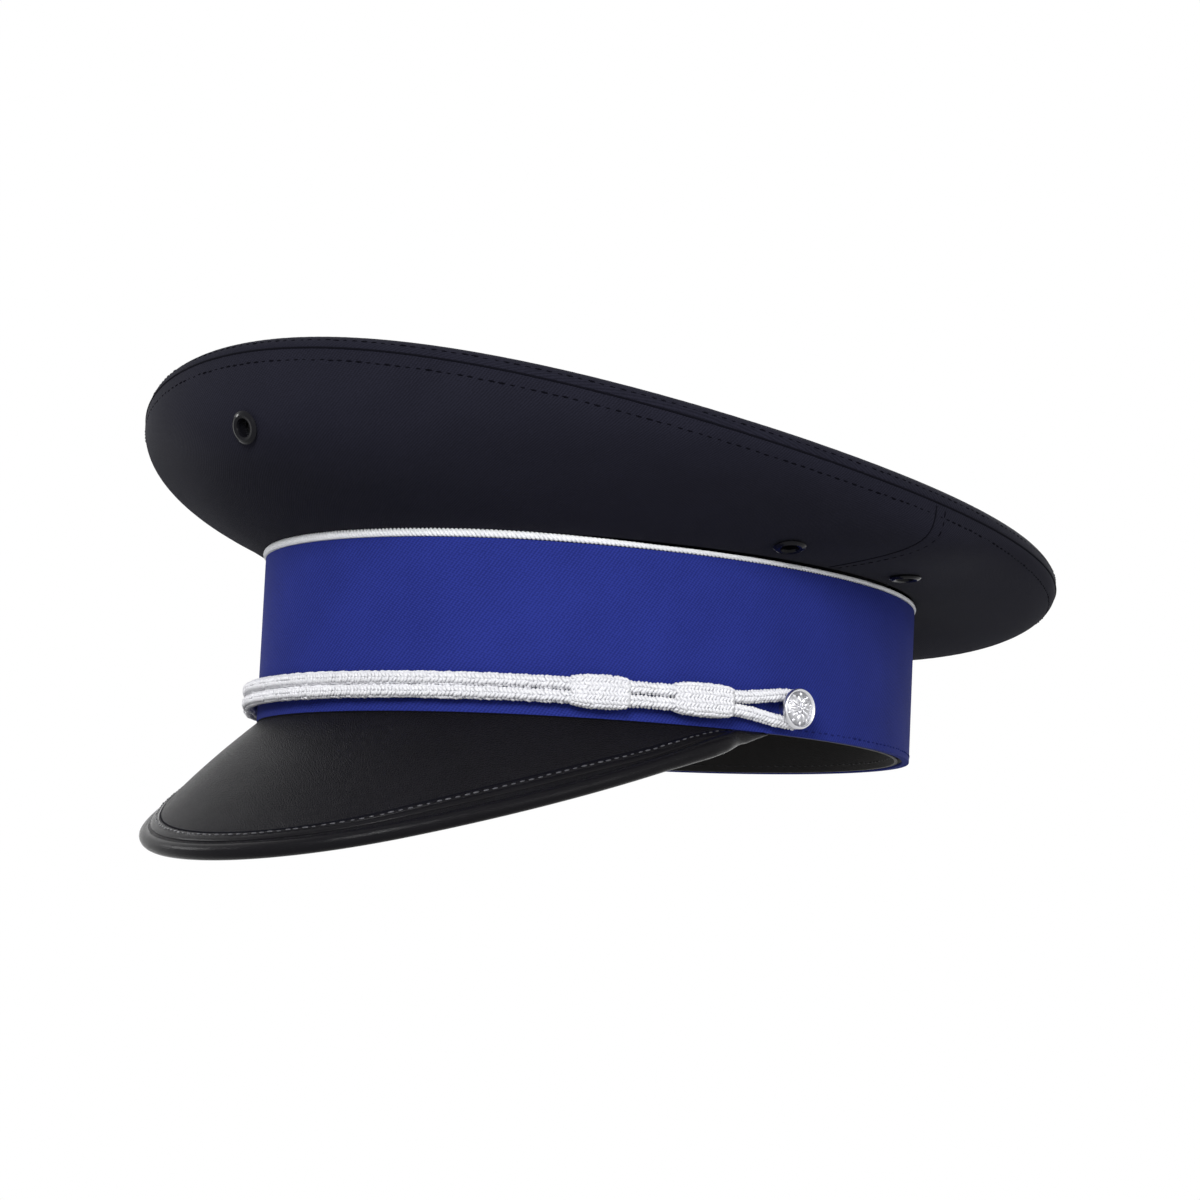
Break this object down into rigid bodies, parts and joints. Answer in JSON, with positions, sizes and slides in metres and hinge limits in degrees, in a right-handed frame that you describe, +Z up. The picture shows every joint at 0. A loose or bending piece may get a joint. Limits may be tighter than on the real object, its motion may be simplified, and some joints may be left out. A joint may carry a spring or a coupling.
{
  "type": "military peaked cap",
  "caption": "Peaked dress cap: wide tilted crown with eyelets, blue head band with white piping, rounded black visor with bound edge, double chin cord with sliding knots on two side buttons.",
  "frame": {"origin": "centre of the head opening, in the plane of the head band's bottom edge", "axes": "+Z up through the crown, the cap's front (visor) towards -Y, the wearer's left towards +X"},
  "size_m": [0.2472, 0.2942, 0.1388],
  "materials": {
    "crown_cloth": "navy-black twill",
    "band_cloth": "royal-blue close weave",
    "piping": "white twisted cord",
    "cord": "silver-white braid",
    "visor_leather": "black fine-grained, semi-gloss",
    "binding_leather": "black, semi-gloss",
    "visor_board": "hard board",
    "sweat_leather": "black, matt",
    "lining_cloth": "dark lining cloth",
    "clear_shield": "clear film",
    "stiffener": "plain",
    "foam": "soft foam",
    "spring_steel": "spring temper",
    "brass": "plain",
    "eyelet_enamel": "gloss black enamel",
    "button_metal": "satin silver"
  },
  "bodies": {
    "cap": {"crown_top_panel": "crown_cloth", "crown_front_panel": "crown_cloth", "crown_back_panel": "crown_cloth", "top_padding": "foam", "crown_grommet": "spring_steel", "grommet_ferrule": "brass", "front_stay": "spring_steel", "lining_side": "lining_cloth", "lining_top": "lining_cloth", "sweat_shield": "clear_shield", "band_cloth": "band_cloth", "band_stiffener": "stiffener", "band_piping": "piping", "sweatband": "sweat_leather", "forehead_pad": "foam", "visor_cover": "visor_leather", "visor_board": "visor_board", "visor_underlining": "visor_leather", "visor_binding": "binding_leather", "badge_eyelet": "eyelet_enamel", "badge_washer": "eyelet_enamel", "vent_left_front_eyelet": "eyelet_enamel", "vent_left_front_washer": "eyelet_enamel", "vent_left_back_eyelet": "eyelet_enamel", "vent_left_back_washer": "eyelet_enamel", "vent_right_front_eyelet": "eyelet_enamel", "vent_right_front_washer": "eyelet_enamel", "vent_right_back_eyelet": "eyelet_enamel", "vent_right_back_washer": "eyelet_enamel", "button_washer_left": "spring_steel", "button_washer_right": "spring_steel"},
    "chin_cord": {"chin_cord_upper": "cord", "chin_cord_lower": "cord"},
    "knot_left_front": {"cord_knot_left_front": "cord"},
    "knot_left_rear": {"cord_knot_left_rear": "cord"},
    "button_left": {"button_face_left": "button_metal", "button_back_left": "button_metal", "button_shank_left": "button_metal", "button_pin_left": "brass"},
    "knot_right_front": {"cord_knot_right_front": "cord"},
    "knot_right_rear": {"cord_knot_right_rear": "cord"},
    "button_right": {"button_face_right": "button_metal", "button_back_right": "button_metal", "button_shank_right": "button_metal", "button_pin_right": "brass"}
  },
  "joints": [
    {"name": "chin_cord_lift", "type": "hinge", "parent": "cap", "child": "chin_cord", "pos_m": [0, -0.0163, 0.0068], "axis": [-1, 0, 0], "range_deg": [0, 5]},
    {"name": "knot_left_front_slide", "type": "hinge", "parent": "chin_cord", "child": "knot_left_front", "pos_m": [-0.03142, 0, 0.0068], "axis": [0, 0, -1], "range_deg": [-2.5, 2.5]},
    {"name": "knot_left_rear_slide", "type": "hinge", "parent": "chin_cord", "child": "knot_left_rear", "pos_m": [-0.03142, 0, 0.0068], "axis": [0, 0, -1], "range_deg": [0, 2.5]},
    {"name": "button_left_turn", "type": "hinge", "parent": "cap", "child": "button_left", "pos_m": [0.08486, -0.0163, 0.0068], "axis": [0.9903, -0.1388, 0], "continuous": true},
    {"name": "knot_right_front_slide", "type": "hinge", "parent": "chin_cord", "child": "knot_right_front", "pos_m": [0.03142, 0, 0.0068], "axis": [0, 0, 1], "range_deg": [-2.5, 2.5]},
    {"name": "knot_right_rear_slide", "type": "hinge", "parent": "chin_cord", "child": "knot_right_rear", "pos_m": [0.03142, 0, 0.0068], "axis": [0, 0, 1], "range_deg": [0, 2.5]},
    {"name": "button_right_turn", "type": "hinge", "parent": "cap", "child": "button_right", "pos_m": [-0.08486, -0.0163, 0.0068], "axis": [-0.9903, -0.1388, 0], "continuous": true}
  ]
}
